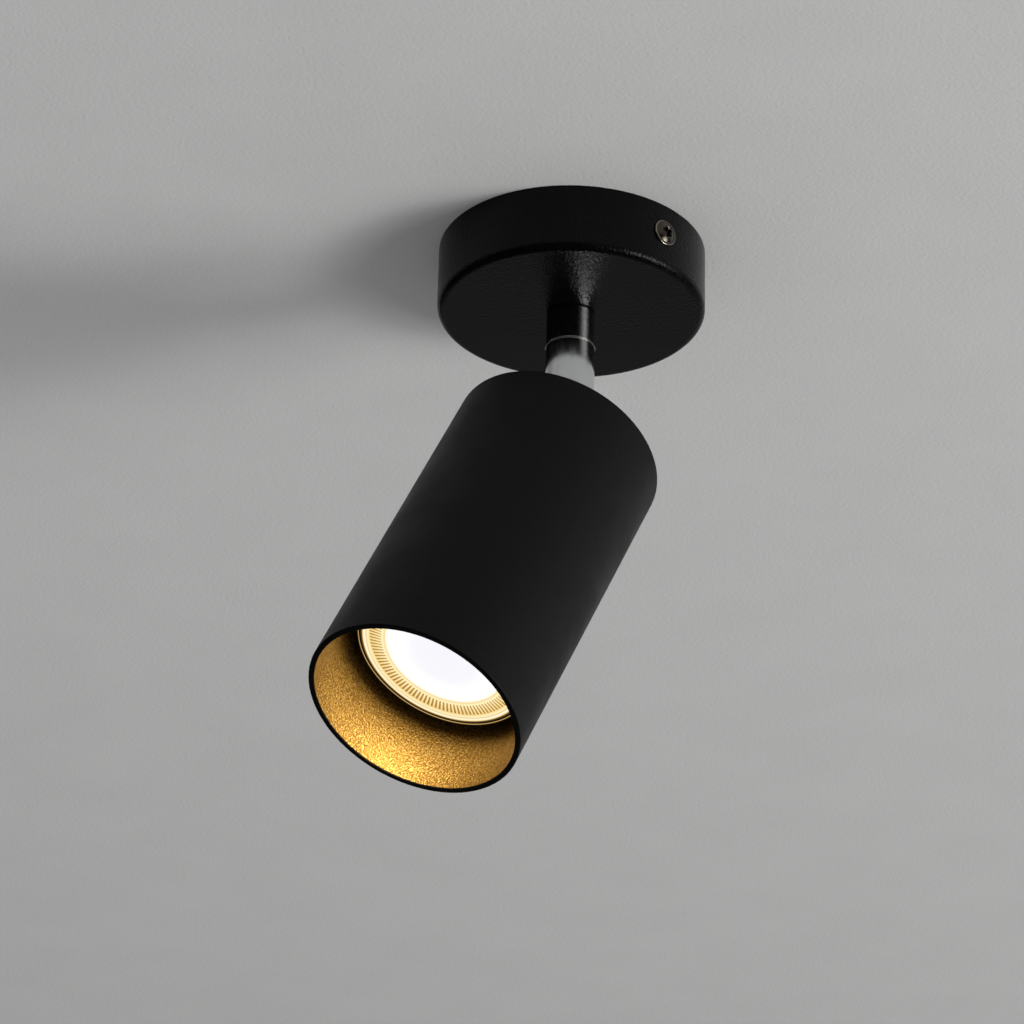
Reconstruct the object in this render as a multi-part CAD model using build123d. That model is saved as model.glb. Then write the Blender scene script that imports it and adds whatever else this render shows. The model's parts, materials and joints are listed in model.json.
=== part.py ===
from build123d import *
import math
import os

# A ceiling spotlight for one GU10 lamp. The origin is the centre of the canopy's ceiling
# face, +Z is up, the canopy's side screws lie on X, and the head tilts towards -Y.
# Driving dimensions, in millimetres and degrees

# Canopy
CANOPY_DIAMETER = 76.6
CANOPY_HEIGHT = 20.0
CANOPY_WALL = 1.5
CANOPY_FLOOR = 2.0
CANOPY_EDGE_RADIUS = 2.2

# Ceiling bracket
BRACKET_THICKNESS = 1.5
BRACKET_WIDTH = 14.0
BRACKET_BEND = 1.0
BRACKET_WALL_CLEARANCE = 0.4
EAR_MARGIN = 4.5
CEILING_SLOT_SPACING = 36.0
CEILING_SLOT_LENGTH = 12.0
CEILING_SLOT_WIDTH = 5.0
CABLE_HOLE_DIAMETER = 12.0
TERMINAL_TAB_WIDTH = 16.0
EARTH_TAB_WIDTH = 10.0
EARTH_TAB_MARGIN = 5.0

# Side screws, M4 with low flanged button heads
SIDE_SCREW_DROP = 9.0
SIDE_SCREW_DIAMETER = 4.0
SIDE_SCREW_HEAD_DIAMETER = 7.7
SIDE_SCREW_HEAD_HEIGHT = 1.5
SIDE_SCREW_FLANGE = 0.5
SIDE_SCREW_FLANGE_EDGE = 0.3
SIDE_SCREW_DOME_DIAMETER = 6.0
SIDE_SCREW_TIP = 3.0
SIDE_SCREW_SOCKET = 3.5
SIDE_SCREW_SOCKET_DEPTH = 1.3
SIDE_SCREW_MOUTH_DIAMETER = 4.8
SIDE_SCREW_MOUTH_BOTTOM = 1.2
SIDE_SCREW_MOUTH_DEPTH = 1.04

# Terminal block and its screws
TERMINAL_PITCH = 8.0
TERMINAL_POLES = 3
TERMINAL_DEPTH = 12.0
TERMINAL_HEIGHT = 11.0
TERMINAL_START = 11.0
TERMINAL_GROOVE = 1.2
CLAMP_DIAMETER = 4.4
CLAMP_BORE = 2.8
CLAMP_LENGTH = 9.0
CLAMP_DROP = 5.5
CLAMP_SCREW_DIAMETER = 2.5
CLAMP_SCREW_SPACING = 5.4
CLAMP_SCREW_SINK = 0.8
FIXING_SCREW_DIAMETER = 2.6
FIXING_HEAD_DIAMETER = 4.4
FIXING_HEAD_HEIGHT = 1.6

# Earth point
EARTH_SCREW_DIAMETER = 4.0
EARTH_HEAD_DIAMETER = 7.0
EARTH_HEAD_HEIGHT = 2.4
EARTH_POINT = 12.5
EARTH_TAG_DIAMETER = 8.0
EARTH_TAG_THICKNESS = 0.8
EARTH_BARREL_DIAMETER = 2.8
EARTH_BARREL_LENGTH = 4.0

# Stem: fixed sleeve, nipple and turning fork
STEM_DIAMETER = 14.0
STEM_EDGE = 0.15
SLEEVE_TOP_EDGE = 0.5
SLEEVE_LENGTH = 10.6
SLEEVE_SHOULDER = 3.0
NIPPLE_DIAMETER = 10.0
NIPPLE_BORE = 7.0
NIPPLE_GAP = 0.5
LOCK_WASHER_DIAMETER = 17.0
LOCK_WASHER_THICKNESS = 0.8
LOCK_NUT_FLATS = 14.0
LOCK_NUT_THICKNESS = 3.0
THREAD_STAND_OUT = 1.0
RING_DIAMETER = 14.2
RING_THICKNESS = 0.35
SPIGOT_DIAMETER = 8.0
SPIGOT_BORE = 5.0
SPIGOT_THREAD = 6.8
SWIVEL_NUT_DIAMETER = 9.4
SWIVEL_NUT_THICKNESS = 1.8
WAVE_WASHER_THICKNESS = 0.4
SPIGOT_STAND_OUT = 0.3
STOP_PIN_DIAMETER = 1.0
STOP_PIN_CIRCLE = 11.2
STOP_PIN_SINK = 2.0
STOP_PIN_REACH = 1.2
STOP_GROOVE_DEPTH = 1.5
STOP_GROOVE_CLEARANCE = 0.25
STOP_END_CLEARANCE = 0.15
PAN_LIMIT = 165.0

# Tilt knuckle
FORK_LENGTH = 27.05
TONGUE_WIDTH = 6.4
TONGUE_CAVITY = 4.0
TILT_WASHER_THICKNESS = 0.3
TILT_WASHER_DIAMETER = 10.6
PIVOT_SCREW_DIAMETER = 4.0
PIVOT_HEAD_DIAMETER = 6.8
PIVOT_HEAD_HEIGHT = 1.5
PIVOT_SOCKET = 2.8
PIVOT_SOCKET_DEPTH = 0.9
PIVOT_TIP_SINK = 0.8
KNUCKLE_CLEARANCE = 0.4
BOSS_THICKNESS = 2.3
KNUCKLE_THREAD = 8.0
KNUCKLE_WASHER_DIAMETER = 14.0
KNUCKLE_WASHER_THICKNESS = 0.8
KNUCKLE_NUT_FLATS = 12.0
KNUCKLE_NUT_THICKNESS = 3.0
BUSH_WALL = 0.35
BUSH_FLANGE = 0.8
BUSH_LENGTH = 5.0
TILT_REST = 27.6

# Head
TUBE_DIAMETER = 60.0
TUBE_WALL = 1.0
TUBE_LIP = 1.55
TUBE_LIP_LENGTH = 0.4
TUBE_EDGE = 0.25
SLEEVE_FIT = 0.05
CAP_THICKNESS = 3.0

# Lamp holder and its bracket
HOLDER_DIAMETER = 27.0
HOLDER_HEIGHT = 17.0
HOLDER_EDGE = 0.8
HOLDER_FACE_PLATE = 3.5
HOLDER_CHAMBER_DEPTH = 7.5
HOLDER_SCREW_SPACING = 18.0
HOLDER_SCREW_DIAMETER = 3.0
HOLDER_SCREW_HEAD_DIAMETER = 5.4
HOLDER_SCREW_HEAD_HEIGHT = 2.0
HOLDER_SCREW_SINK = 2.6
HOLDER_SCREW_TIP = 1.5
HOLDER_BRACKET_THICKNESS = 1.0
HOLDER_BRACKET_WIDTH = 12.0
HOLDER_BRACKET_REACH = 17.6
HOLDER_BRACKET_SIDE_GAP = 2.5
HOLDER_BRACKET_BEND = 1.0
HOLDER_FOOT_OPENING = 12.0
CONTACT_WIDTH = 4.2
CONTACT_LENGTH = 4.8

# GU10 lamp
LAMP_DIAMETER = 50.0
LAMP_LENGTH = 46.5
LAMP_BASE_DIAMETER = 24.0
LAMP_BASE_LENGTH = 11.0
LAMP_BASE_SOLID = 6.0
LAMP_SHOULDER_DIAMETER = 47.5
LAMP_RIM_LENGTH = 4.5
LAMP_RIM_WALL = 0.5
LAMP_WALL = 1.2
LAMP_BULGE = 1.2
LAMP_GAP = 0.2
LAMP_RECESS = 21.0
LAMP_TWIST = 20.0
PIN_SPACING = 10.0
PIN_NECK_DIAMETER = 3.0
PIN_HEAD_DIAMETER = 4.8
PIN_NECK_LENGTH = 4.2
PIN_HEAD_LENGTH = 2.8
PIN_SLOT_CLEARANCE = 0.3
LENS_GROOVE = 0.5
LENS_THICKNESS = 2.4
LENS_RIB_OUTER_DIAMETER = 43.0
LENS_RIB_INNER_DIAMETER = 35.6
LENS_RIB_STEP = 0.3
LENS_DISC_STEP = 0.6
BOARD_DIAMETER = 34.0
BOARD_THICKNESS = 1.6
BOARD_EMITTER_DIAMETER = 20.0
BOARD_EMITTER_HEIGHT = 1.0
BOARD_SETBACK = 8.0
BOARD_PLATE_THICKNESS = 1.5

# Leads, whose route points are chosen by hand
LEAD_DIAMETER = 1.6
LEAD_OFFSET = 1.2
LEAD_JOINT_GAP = 0.4
LEAD_BEND_SHARE = 0.45
LEAD_TURN = 5.0
LEAD_CREST = -8.0
PAN_CUT_RISE = 2.0
EARTH_LEAD_TURN = 8.0
EARTH_LEAD_RISE = 2.5
EARTH_LEAD_STOP = 0.5
ROOF_TURN = 1.0
LIVE_BULGE = [(3.3, 1.0), (3.2, -2.2)]
NEUTRAL_BULGE = [(-3.5, 1.0)]
HEAD_LEAD_DROP = 1.5
HEAD_LEAD_RISE = 3.5

# Driver slots and sockets
DRIVER_SLOT_WIDTH = 0.6
SOCKET_LOBE_SHARE = 0.15

# Fits
THREAD_FIT = 0.05
RUNNING_FIT = 0.05
HOLE_FIT = 0.25

# Places that follow from the driving dimensions
CANOPY_RADIUS = CANOPY_DIAMETER / 2
CANOPY_INSIDE = CANOPY_RADIUS - CANOPY_WALL
CANOPY_FLOOR_TOP = CANOPY_FLOOR - CANOPY_HEIGHT
EAR_REACH = math.sqrt((CANOPY_INSIDE - BRACKET_WALL_CLEARANCE) ** 2 - (BRACKET_WIDTH / 2) ** 2)
EAR_DROP = SIDE_SCREW_DROP + EAR_MARGIN
TERMINAL_WIDTH = TERMINAL_PITCH * TERMINAL_POLES
TERMINAL_END = TERMINAL_START + TERMINAL_DEPTH
TERMINAL_MIDDLE = TERMINAL_START + TERMINAL_DEPTH / 2
TERMINAL_BOTTOM = -BRACKET_THICKNESS - TERMINAL_HEIGHT
CLAMP_HEIGHT = -BRACKET_THICKNESS - CLAMP_DROP
POLE_PLACES = [TERMINAL_PITCH * (pole - (TERMINAL_POLES - 1) / 2) for pole in range(TERMINAL_POLES)]
FIXING_PLACES = [(left + right) / 2 for left, right in zip(POLE_PLACES, POLE_PLACES[1:])]

STEM_RADIUS = STEM_DIAMETER / 2
SLEEVE_BOTTOM = -CANOPY_HEIGHT - SLEEVE_LENGTH
SHOULDER_TOP = SLEEVE_BOTTOM + SLEEVE_SHOULDER
SWIVEL_NUT_SEAT = SHOULDER_TOP + WAVE_WASHER_THICKNESS
SWIVEL_NUT_TOP = SWIVEL_NUT_SEAT + SWIVEL_NUT_THICKNESS
SPIGOT_TOP = SWIVEL_NUT_TOP + SPIGOT_STAND_OUT
NIPPLE_BOTTOM = SPIGOT_TOP + NIPPLE_GAP
LOCK_NUT_SEAT = CANOPY_FLOOR_TOP + LOCK_WASHER_THICKNESS
LOCK_NUT_TOP = LOCK_NUT_SEAT + LOCK_NUT_THICKNESS
NIPPLE_TOP = LOCK_NUT_TOP + THREAD_STAND_OUT
FORK_TOP = SLEEVE_BOTTOM - RING_THICKNESS
PIVOT_HEIGHT = FORK_TOP - FORK_LENGTH
STOP_RADIUS = STOP_PIN_CIRCLE / 2

FORK_SLOT = TONGUE_WIDTH / 2 + TILT_WASHER_THICKNESS
EAR_END_RADIUS = math.sqrt(STEM_RADIUS**2 - FORK_SLOT**2)
TONGUE_RADIUS = EAR_END_RADIUS - KNUCKLE_CLEARANCE
FORK_ROOF = EAR_END_RADIUS
BOSS_FACE = STEM_RADIUS + KNUCKLE_CLEARANCE
PIVOT_HEAD_SEAT = STEM_RADIUS - PIVOT_HEAD_HEIGHT

# Depths below the pivot along the head, which is built hanging straight down
CAP_TOP = BOSS_FACE + BOSS_THICKNESS
CAP_BOTTOM = CAP_TOP + CAP_THICKNESS
KNUCKLE_WASHER_TOP = CAP_BOTTOM + HOLDER_BRACKET_THICKNESS
KNUCKLE_NUT_TOP = KNUCKLE_WASHER_TOP + KNUCKLE_WASHER_THICKNESS
SPIGOT_END = KNUCKLE_NUT_TOP + KNUCKLE_NUT_THICKNESS + THREAD_STAND_OUT
HOLDER_BACK = CAP_BOTTOM + HOLDER_BRACKET_REACH
HOLDER_FACE = HOLDER_BACK + HOLDER_HEIGHT
LAMP_BASE = HOLDER_FACE + LAMP_GAP
LAMP_FACE = LAMP_BASE + LAMP_LENGTH
MOUTH = LAMP_FACE + LAMP_RECESS
LIP_TOP = MOUTH - TUBE_LIP_LENGTH

TUBE_RADIUS = TUBE_DIAMETER / 2
TUBE_INSIDE = TUBE_RADIUS - TUBE_WALL
SLEEVE_OUTSIDE = TUBE_INSIDE - SLEEVE_FIT
SLEEVE_INSIDE = TUBE_RADIUS - TUBE_LIP
LAMP_RADIUS = LAMP_DIAMETER / 2
LENS_RADIUS = LAMP_RADIUS - LAMP_RIM_WALL - LENS_GROOVE
PIN_RADIUS = PIN_SPACING / 2
CONTACT_BACK = HOLDER_FACE - HOLDER_CHAMBER_DEPTH - CONTACT_LENGTH
LEAD_RADIUS = LEAD_DIAMETER / 2
PAN_CUT = FORK_TOP + PAN_CUT_RISE
TILT_CUT = BOSS_FACE - LEAD_JOINT_GAP


# Shapes that several pieces use

def rod(radius, low, high):
    """A straight round bar about Z."""
    return Pos(0, 0, low) * extrude(Circle(radius), amount=high - low)


def sleeve(outside, inside, low, high):
    """A straight round tube about Z."""
    return Pos(0, 0, low) * extrude(Circle(outside) - Circle(inside), amount=high - low)


def hex_nut(flats, hole, low, high):
    """A hexagon nut about Z."""
    outline = RegularPolygon(flats / 2, 6, major_radius=False) - Circle(hole)
    return Pos(0, 0, low) * extrude(outline, amount=high - low)


def block(x_range, y_range, z_range):
    """A box between two corners."""
    sizes = [high - low for low, high in (x_range, y_range, z_range)]
    middle = [(high + low) / 2 for low, high in (x_range, y_range, z_range)]
    return Pos(*middle) * Box(*sizes)


def along_x(part):
    """Lay a part built along +Z along +X."""
    return Rot(0, 90, 0) * part


def along_y(part):
    """Lay a part built along +Z along +Y."""
    return Rot(-90, 0, 0) * part


def strip(points, thickness, bend, width):
    """A bent sheet strip whose middle line is given in X and Z."""
    middle_line = FilletPolyline(*points, radius=bend + thickness / 2)
    return extrude(Plane.XZ * trace(middle_line, thickness), amount=width / 2, both=True)


def six_lobe_socket(width, depth):
    """A six-lobe driver socket that opens upward at z = 0."""
    lobe = width * SOCKET_LOBE_SHARE
    core = width / 2 - lobe
    outline = Circle(core) + PolarLocations(core, 6) * Circle(lobe)
    return Pos(0, 0, -depth) * extrude(outline, amount=2 * depth)


def round_end(part, z, radius):
    """Round the circular edges of a part that lie at height z."""
    near = radius / 4
    circles = part.edges().filter_by(GeomType.CIRCLE)
    return fillet(circles.filter_by_position(Axis.Z, z - near, z + near), radius)


def flanged_head(diameter, flange, edge, dome_diameter, height):
    """A screw head with a low dome on a thin, round-edged flange that stands on z = 0."""
    radius = diameter / 2
    foot = dome_diameter / 2
    rise = height - flange
    dome = (foot**2 + rise**2) / (2 * rise)
    half_turn = math.asin(foot / dome) / 2
    middle = (dome * math.sin(half_turn), height - dome + dome * math.cos(half_turn))
    corner = edge * math.sqrt(0.5)
    turn = (radius - edge + corner, flange - edge + corner)
    outline = [
        Polyline((0, height), (0, 0), (radius, 0), (radius, flange - edge)),
        ThreePointArc((radius, flange - edge), turn, (radius - edge, flange)),
        Line((radius - edge, flange), (foot, flange)),
        ThreePointArc((foot, flange), middle, (0, height)),
    ]
    return revolve(Plane.XZ * make_face(outline), Axis.Z)


def lead(points):
    """An insulated lead along straight runs with tangent bends."""
    bends = []
    for before, corner, after in zip(points, points[1:], points[2:]):
        run_in = Vector(corner) - Vector(before)
        run_out = Vector(after) - Vector(corner)
        half_turn = math.radians(run_in.get_angle(run_out)) / 2
        shorter = min(run_in.length, run_out.length)
        bends.append(LEAD_BEND_SHARE * shorter / math.tan(half_turn))
    route = FilletPolyline(*points, radius=bends)
    section = Plane(route @ 0, z_dir=route % 0) * Circle(LEAD_RADIUS)
    return sweep(section, path=route)


def in_swivel(part):
    """Place a part built about the pivot into the fork."""
    return Pos(0, 0, PIVOT_HEIGHT) * part


def in_head(part):
    """Tilt a part built about the pivot to the head's rest pose."""
    return Pos(0, 0, PIVOT_HEIGHT) * Rot(-TILT_REST, 0, 0) * part


# Canopy and bracket

def make_canopy():
    cup = round_end(rod(CANOPY_RADIUS, -CANOPY_HEIGHT, 0), -CANOPY_HEIGHT, CANOPY_EDGE_RADIUS)
    inside = rod(CANOPY_INSIDE, CANOPY_FLOOR_TOP, CANOPY_HEIGHT)
    cup -= round_end(inside, CANOPY_FLOOR_TOP, CANOPY_EDGE_RADIUS - CANOPY_WALL)
    cup -= rod(NIPPLE_DIAMETER / 2 + HOLE_FIT, -2 * CANOPY_HEIGHT, 0)
    screw_hole = along_x(rod(SIDE_SCREW_DIAMETER / 2 + HOLE_FIT, -CANOPY_DIAMETER, CANOPY_DIAMETER))
    return cup - Pos(0, 0, -SIDE_SCREW_DROP) * screw_hole


def make_ceiling_bracket():
    half = BRACKET_THICKNESS / 2
    line = [
        (-EAR_REACH + half, -EAR_DROP),
        (-EAR_REACH + half, -half),
        (EAR_REACH - half, -half),
        (EAR_REACH - half, -EAR_DROP),
    ]
    bracket = strip(line, BRACKET_THICKNESS, BRACKET_BEND, BRACKET_WIDTH)
    plate = (-BRACKET_THICKNESS, 0)
    terminal_half = TERMINAL_TAB_WIDTH / 2
    earth_half = EARTH_TAB_WIDTH / 2
    bracket += block((-terminal_half, terminal_half), (0, TERMINAL_END), plate)
    bracket += block((-earth_half, earth_half), (-EARTH_POINT - EARTH_TAB_MARGIN, 0), plate)
    slot = SlotOverall(CEILING_SLOT_LENGTH, CEILING_SLOT_WIDTH)
    for side in (-1, 1):
        place = Pos(side * CEILING_SLOT_SPACING / 2, 0, -BRACKET_THICKNESS)
        bracket -= place * extrude(slot, amount=BRACKET_THICKNESS)
    bracket -= rod(CABLE_HOLE_DIAMETER / 2, -BRACKET_THICKNESS, 0)
    earth_hole = rod(EARTH_SCREW_DIAMETER / 2 + THREAD_FIT, -BRACKET_THICKNESS, 0)
    bracket -= Pos(0, -EARTH_POINT, 0) * earth_hole
    for x in FIXING_PLACES:
        hole = rod(FIXING_SCREW_DIAMETER / 2 + THREAD_FIT, -BRACKET_THICKNESS, 0)
        bracket -= Pos(x, TERMINAL_MIDDLE, 0) * hole
    ear_hole = along_x(rod(SIDE_SCREW_DIAMETER / 2 + THREAD_FIT, -CANOPY_DIAMETER, CANOPY_DIAMETER))
    return bracket - Pos(0, 0, -SIDE_SCREW_DROP) * ear_hole


def make_side_screws():
    shank_length = CANOPY_RADIUS - EAR_REACH + BRACKET_THICKNESS + SIDE_SCREW_TIP
    screw = flanged_head(
        SIDE_SCREW_HEAD_DIAMETER,
        SIDE_SCREW_FLANGE,
        SIDE_SCREW_FLANGE_EDGE,
        SIDE_SCREW_DOME_DIAMETER,
        SIDE_SCREW_HEAD_HEIGHT,
    )
    screw += rod(SIDE_SCREW_DIAMETER / 2, -shank_length, 0)
    socket = six_lobe_socket(SIDE_SCREW_SOCKET, SIDE_SCREW_SOCKET_DEPTH)
    socket += Cone(
        SIDE_SCREW_MOUTH_BOTTOM / 2,
        SIDE_SCREW_MOUTH_DIAMETER / 2,
        SIDE_SCREW_MOUTH_DEPTH,
        align=(Align.CENTER, Align.CENTER, Align.MAX),
    )
    screw -= Pos(0, 0, SIDE_SCREW_HEAD_HEIGHT) * socket
    right = Pos(CANOPY_RADIUS, 0, -SIDE_SCREW_DROP) * along_x(screw)
    return Compound(children=[right, Rot(0, 0, 180) * right])


# Terminal block and earth point

def make_terminal_block():
    half = TERMINAL_WIDTH / 2
    body = block((-half, half), (TERMINAL_START, TERMINAL_END), (TERMINAL_BOTTOM, -BRACKET_THICKNESS))
    for x in FIXING_PLACES:
        for y in (TERMINAL_START, TERMINAL_END):
            groove = rod(TERMINAL_GROOVE, TERMINAL_BOTTOM, -BRACKET_THICKNESS)
            body -= Pos(x, y, 0) * groove
        screw_hole = rod(FIXING_SCREW_DIAMETER / 2 + HOLE_FIT, TERMINAL_BOTTOM, 0)
        head_top = TERMINAL_BOTTOM + FIXING_HEAD_HEIGHT
        head_hole = rod(FIXING_HEAD_DIAMETER / 2 + HOLE_FIT, TERMINAL_BOTTOM, head_top)
        body -= Pos(x, TERMINAL_MIDDLE, 0) * (screw_hole + head_hole)
    for x in POLE_PLACES:
        wire_hole = along_y(rod(CLAMP_DIAMETER / 2 + THREAD_FIT, TERMINAL_START, TERMINAL_END))
        body -= Pos(x, 0, CLAMP_HEIGHT) * wire_hole
        for y in clamp_screw_rows():
            screw_hole = rod(CLAMP_SCREW_DIAMETER / 2 + HOLE_FIT, TERMINAL_BOTTOM, CLAMP_HEIGHT)
            body -= Pos(x, y, 0) * screw_hole
    return body


def clamp_screw_rows():
    """The two rows of clamp screws, across the block."""
    half = CLAMP_SCREW_SPACING / 2
    return (TERMINAL_MIDDLE - half, TERMINAL_MIDDLE + half)


def make_terminal_clamps():
    clamp = Pos(0, 0, TERMINAL_MIDDLE - CLAMP_LENGTH / 2) * extrude(
        Circle(CLAMP_DIAMETER / 2) - Circle(CLAMP_BORE / 2), amount=CLAMP_LENGTH
    )
    clamp = Pos(0, 0, CLAMP_HEIGHT) * along_y(clamp)
    for y in clamp_screw_rows():
        clamp -= Pos(0, y, 0) * rod(CLAMP_SCREW_DIAMETER / 2 + THREAD_FIT, TERMINAL_BOTTOM, CLAMP_HEIGHT)
    return Compound(children=[Pos(x, 0, 0) * clamp for x in POLE_PLACES])


def make_terminal_screws():
    tip = CLAMP_HEIGHT - LEAD_RADIUS - THREAD_FIT
    screw = rod(CLAMP_SCREW_DIAMETER / 2, TERMINAL_BOTTOM + CLAMP_SCREW_SINK, tip)
    slot_half = DRIVER_SLOT_WIDTH / 2
    slot_top = TERMINAL_BOTTOM + 2 * CLAMP_SCREW_SINK
    reach = (-CLAMP_SCREW_DIAMETER, CLAMP_SCREW_DIAMETER)
    screw -= block(reach, (-slot_half, slot_half), (TERMINAL_BOTTOM, slot_top))
    places = [Pos(x, y, 0) for x in POLE_PLACES for y in clamp_screw_rows()]
    return Compound(children=[place * screw for place in places])


def make_terminal_fixing_screws():
    head_top = TERMINAL_BOTTOM + FIXING_HEAD_HEIGHT
    screw = rod(FIXING_HEAD_DIAMETER / 2, TERMINAL_BOTTOM, head_top)
    screw += rod(FIXING_SCREW_DIAMETER / 2, head_top, 0)
    slot_half = DRIVER_SLOT_WIDTH / 2
    reach = (-FIXING_HEAD_DIAMETER, FIXING_HEAD_DIAMETER)
    slot_range = (TERMINAL_BOTTOM, TERMINAL_BOTTOM + FIXING_HEAD_HEIGHT / 2)
    screw -= block(reach, (-slot_half, slot_half), slot_range)
    return Compound(children=[Pos(x, TERMINAL_MIDDLE, 0) * screw for x in FIXING_PLACES])


def make_earth_tag():
    top = -BRACKET_THICKNESS
    bottom = top - EARTH_TAG_THICKNESS
    barrel_radius = EARTH_BARREL_DIAMETER / 2
    barrel_start = -EARTH_POINT + EARTH_TAG_DIAMETER / 2
    tag = Pos(0, -EARTH_POINT, 0) * rod(EARTH_TAG_DIAMETER / 2, bottom, top)
    neck_range = (-EARTH_POINT, barrel_start + EARTH_TAG_THICKNESS)
    tag += block((-barrel_radius, barrel_radius), neck_range, (bottom, top))
    barrel = rod(barrel_radius, barrel_start, barrel_start + EARTH_BARREL_LENGTH)
    tag += Pos(0, 0, top - barrel_radius) * along_y(barrel)
    bore = rod(LEAD_RADIUS + THREAD_FIT, barrel_start, barrel_start + EARTH_BARREL_LENGTH)
    tag -= Pos(0, 0, top - barrel_radius) * along_y(bore)
    return tag - Pos(0, -EARTH_POINT, 0) * rod(EARTH_SCREW_DIAMETER / 2 + HOLE_FIT, bottom, top)


def make_earth_screw():
    seat = -BRACKET_THICKNESS - EARTH_TAG_THICKNESS
    head = rod(EARTH_HEAD_DIAMETER / 2, seat - EARTH_HEAD_HEIGHT, seat)
    head = round_end(head, seat - EARTH_HEAD_HEIGHT, EARTH_HEAD_HEIGHT / 2)
    screw = head + rod(EARTH_SCREW_DIAMETER / 2, seat, 0)
    slot_half = DRIVER_SLOT_WIDTH / 2
    slot_range = (seat - EARTH_HEAD_HEIGHT, seat - EARTH_HEAD_HEIGHT / 2)
    reach = (-EARTH_SCREW_DIAMETER / 2, EARTH_SCREW_DIAMETER / 2)
    for turn in (0, 90):
        screw -= Rot(0, 0, turn) * block(reach, (-slot_half, slot_half), slot_range)
    return Pos(0, -EARTH_POINT, 0) * screw


# Stem

def make_nipple():
    return sleeve(NIPPLE_DIAMETER / 2, NIPPLE_BORE / 2, NIPPLE_BOTTOM, NIPPLE_TOP)


def make_lock_washer():
    hole = NIPPLE_DIAMETER / 2 + HOLE_FIT
    return sleeve(LOCK_WASHER_DIAMETER / 2, hole, CANOPY_FLOOR_TOP, LOCK_NUT_SEAT)


def make_lock_nut():
    return hex_nut(LOCK_NUT_FLATS, NIPPLE_DIAMETER / 2 + THREAD_FIT, LOCK_NUT_SEAT, LOCK_NUT_TOP)


def stop_pin_place():
    return Pos(0, STOP_RADIUS, 0)


def make_stem_sleeve():
    body = rod(STEM_RADIUS, SLEEVE_BOTTOM, -CANOPY_HEIGHT)
    body = round_end(body, SLEEVE_BOTTOM, STEM_EDGE)
    body = round_end(body, -CANOPY_HEIGHT, SLEEVE_TOP_EDGE)
    body -= rod(NIPPLE_DIAMETER / 2 + THREAD_FIT, SHOULDER_TOP, -CANOPY_HEIGHT)
    body -= rod(SPIGOT_DIAMETER / 2 + RUNNING_FIT, SLEEVE_BOTTOM, SHOULDER_TOP)
    pin_hole = rod(STOP_PIN_DIAMETER / 2 + THREAD_FIT, SLEEVE_BOTTOM, SLEEVE_BOTTOM + STOP_PIN_SINK)
    return body - stop_pin_place() * pin_hole


def make_swivel_ring():
    ring = sleeve(RING_DIAMETER / 2, SPIGOT_DIAMETER / 2 + HOLE_FIT, FORK_TOP, SLEEVE_BOTTOM)
    return ring - stop_pin_place() * rod(STOP_PIN_DIAMETER / 2 + THREAD_FIT, FORK_TOP, SLEEVE_BOTTOM)


def make_pan_stop_pin():
    pin = rod(STOP_PIN_DIAMETER / 2, FORK_TOP - STOP_PIN_REACH, SLEEVE_BOTTOM + STOP_PIN_SINK)
    return stop_pin_place() * pin


def stop_groove():
    """The ring-shaped groove in the fork's top, with the lump that ends the turn at -Y."""
    half_width = STOP_PIN_DIAMETER / 2 + STOP_GROOVE_CLEARANCE
    groove_floor = FORK_TOP - STOP_GROOVE_DEPTH
    groove = sleeve(STOP_RADIUS + half_width, STOP_RADIUS - half_width, groove_floor, FORK_TOP)
    pin_turn = math.degrees((STOP_PIN_DIAMETER / 2 + STOP_END_CLEARANCE) / STOP_RADIUS)
    lump_half_turn = math.radians(180 - PAN_LIMIT - pin_turn)
    reach = 2 * STEM_RADIUS
    spread = reach * math.tan(lump_half_turn)
    lump = Polygon((0, 0), (-spread, -reach), (spread, -reach), align=None)
    return groove - Pos(0, 0, groove_floor) * extrude(lump, amount=STOP_GROOVE_DEPTH)


def make_swivel_fork():
    fork = rod(STEM_RADIUS, PIVOT_HEIGHT - EAR_END_RADIUS, FORK_TOP)
    fork = round_end(fork, FORK_TOP, STEM_EDGE)
    below = block((-STEM_DIAMETER, STEM_DIAMETER), (-STEM_DIAMETER, STEM_DIAMETER), (-STEM_DIAMETER, 0))
    below -= along_x(rod(EAR_END_RADIUS, -STEM_DIAMETER, STEM_DIAMETER))
    fork -= in_swivel(below)
    slot = block((-FORK_SLOT, FORK_SLOT), (-STEM_DIAMETER, STEM_DIAMETER), (-STEM_DIAMETER, FORK_ROOF))
    fork -= in_swivel(slot)
    fork += rod(SPIGOT_DIAMETER / 2, FORK_TOP, SWIVEL_NUT_SEAT)
    fork += rod(SPIGOT_THREAD / 2, SWIVEL_NUT_SEAT, SPIGOT_TOP)
    fork -= rod(SPIGOT_BORE / 2, PIVOT_HEIGHT, SPIGOT_TOP)
    fork -= stop_groove()
    pivot_hole = along_x(rod(PIVOT_SCREW_DIAMETER / 2 + THREAD_FIT, -STEM_DIAMETER, STEM_DIAMETER))
    head_hole = along_x(rod(PIVOT_HEAD_DIAMETER / 2 + HOLE_FIT, PIVOT_HEAD_SEAT, STEM_DIAMETER))
    return fork - in_swivel(pivot_hole + head_hole)


def make_wave_washer():
    hole = SPIGOT_DIAMETER / 2 + RUNNING_FIT
    return sleeve(SWIVEL_NUT_DIAMETER / 2, hole, SHOULDER_TOP, SWIVEL_NUT_SEAT)


def make_swivel_nut():
    return sleeve(SWIVEL_NUT_DIAMETER / 2, SPIGOT_THREAD / 2 + THREAD_FIT, SWIVEL_NUT_SEAT, SWIVEL_NUT_TOP)


# Tilt knuckle

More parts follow.
